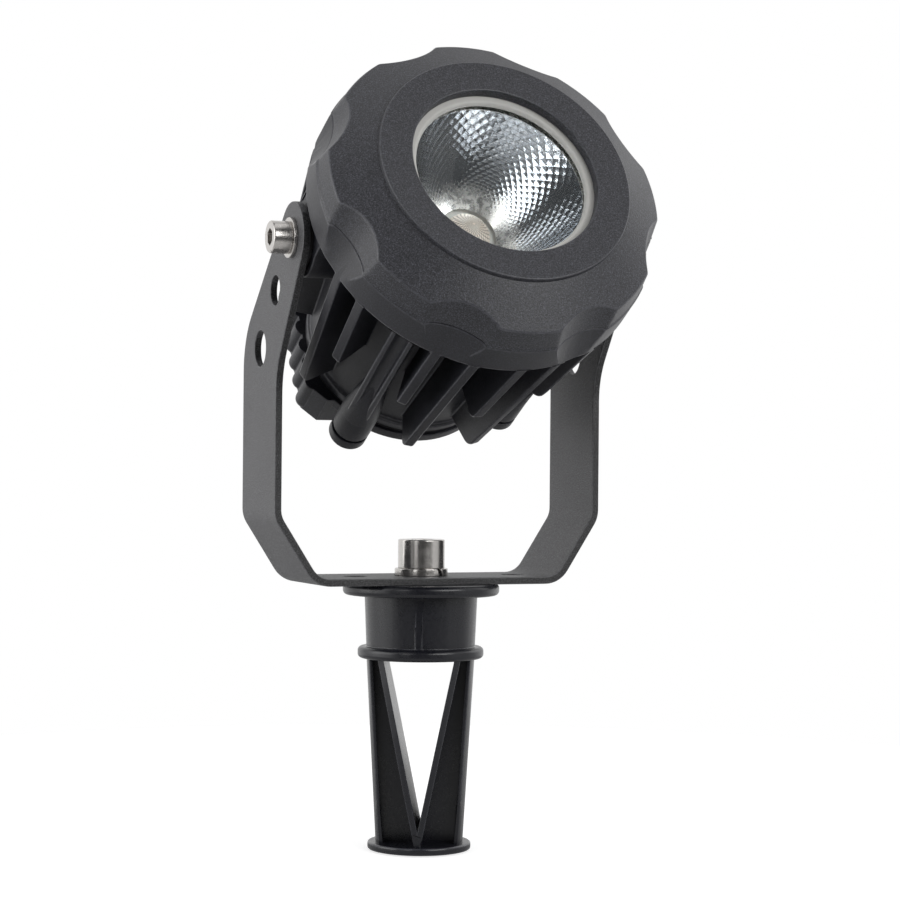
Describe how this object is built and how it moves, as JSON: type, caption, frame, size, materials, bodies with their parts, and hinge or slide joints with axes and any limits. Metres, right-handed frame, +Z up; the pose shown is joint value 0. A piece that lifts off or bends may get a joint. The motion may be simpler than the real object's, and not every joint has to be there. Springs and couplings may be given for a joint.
{
  "type": "landscape spotlight",
  "caption": "Adjustable garden spotlight: finned black metal lamp head with a scalloped bezel, tilting in a steel U bracket that swivels on a moulded ground stake.",
  "frame": {"origin": "centre of the underside of the stake's round foot", "axes": "+Z up along the stake and the swivel axis, X along the tilt axis through both bracket arms, the lamp shines towards -Y and up"},
  "size_m": [0.1074, 0.1169, 0.2183],
  "materials": {
    "moulded_plastic": "semi-gloss moulded black plastic",
    "insert_brass": "turned brass",
    "bolt_steel": "bright plated steel",
    "bracket_coat": "dark grey powder coat on steel strap",
    "rubber_black": "black friction rubber",
    "housing_coat": "black powder coat on die-cast aluminium",
    "bezel_coat": "fine-grained black powder coat on die-cast aluminium",
    "front_glass": "clear tempered glass",
    "seal_pale": "pale silicone",
    "mirror_silver": "faceted vacuum-metallised mirror",
    "board_white": "white-coated aluminium board",
    "led_yellow": "yellow light-converting silicone",
    "dome_clear": "clear moulded dome",
    "holder_white": "white moulded plastic",
    "pad_grey": "soft grey thermal pad",
    "wire_red": "red wire insulation",
    "board_green": "green circuit board",
    "transformer_yellow": "taped windings on a bobbin",
    "capacitor_blue": "shrink sleeve",
    "choke_brown": "enamelled copper winding",
    "terminal_green": "green moulded terminal block",
    "gland_black": "black nylon"
  },
  "bodies": {
    "stake": {"stake": "moulded_plastic", "threaded_insert": "insert_brass", "base_bolt": "bolt_steel", "base_spring_washer": "bolt_steel"},
    "bracket": {"bracket": "bracket_coat"},
    "head": {"pivot_screws": "bolt_steel", "pivot_washers": "bolt_steel", "friction_discs": "rubber_black", "housing": "housing_coat", "bezel": "bezel_coat", "bezel_seal": "rubber_black", "bezel_screws": "bolt_steel", "front_glass": "front_glass", "glass_seal": "seal_pale", "reflector": "mirror_silver", "led_board": "board_white", "led_disc": "led_yellow", "led_dome": "dome_clear", "led_holder": "holder_white", "led_screws": "bolt_steel", "thermal_pad": "pad_grey", "led_wires": "wire_red", "wire_grommet": "rubber_black", "driver_board": "board_green", "transformer": "transformer_yellow", "capacitors": "capacitor_blue", "choke": "choke_brown", "terminal_block": "terminal_green", "back_cover": "housing_coat", "back_gasket": "rubber_black", "back_screws": "bolt_steel", "gland_body": "gland_black", "gland_ring": "rubber_black", "gland_seal": "rubber_black", "gland_nut": "gland_black"}
  },
  "joints": [
    {"name": "bracket_swivel", "type": "hinge", "parent": "stake", "child": "bracket", "pos_m": [0, 0, 0.0747], "axis": [0, 0, 1], "continuous": true},
    {"name": "head_tilt", "type": "hinge", "parent": "bracket", "child": "head", "pos_m": [0, -0.0265, 0.1653], "axis": [-1, 0, 0], "range_deg": [-60, 80]}
  ]
}
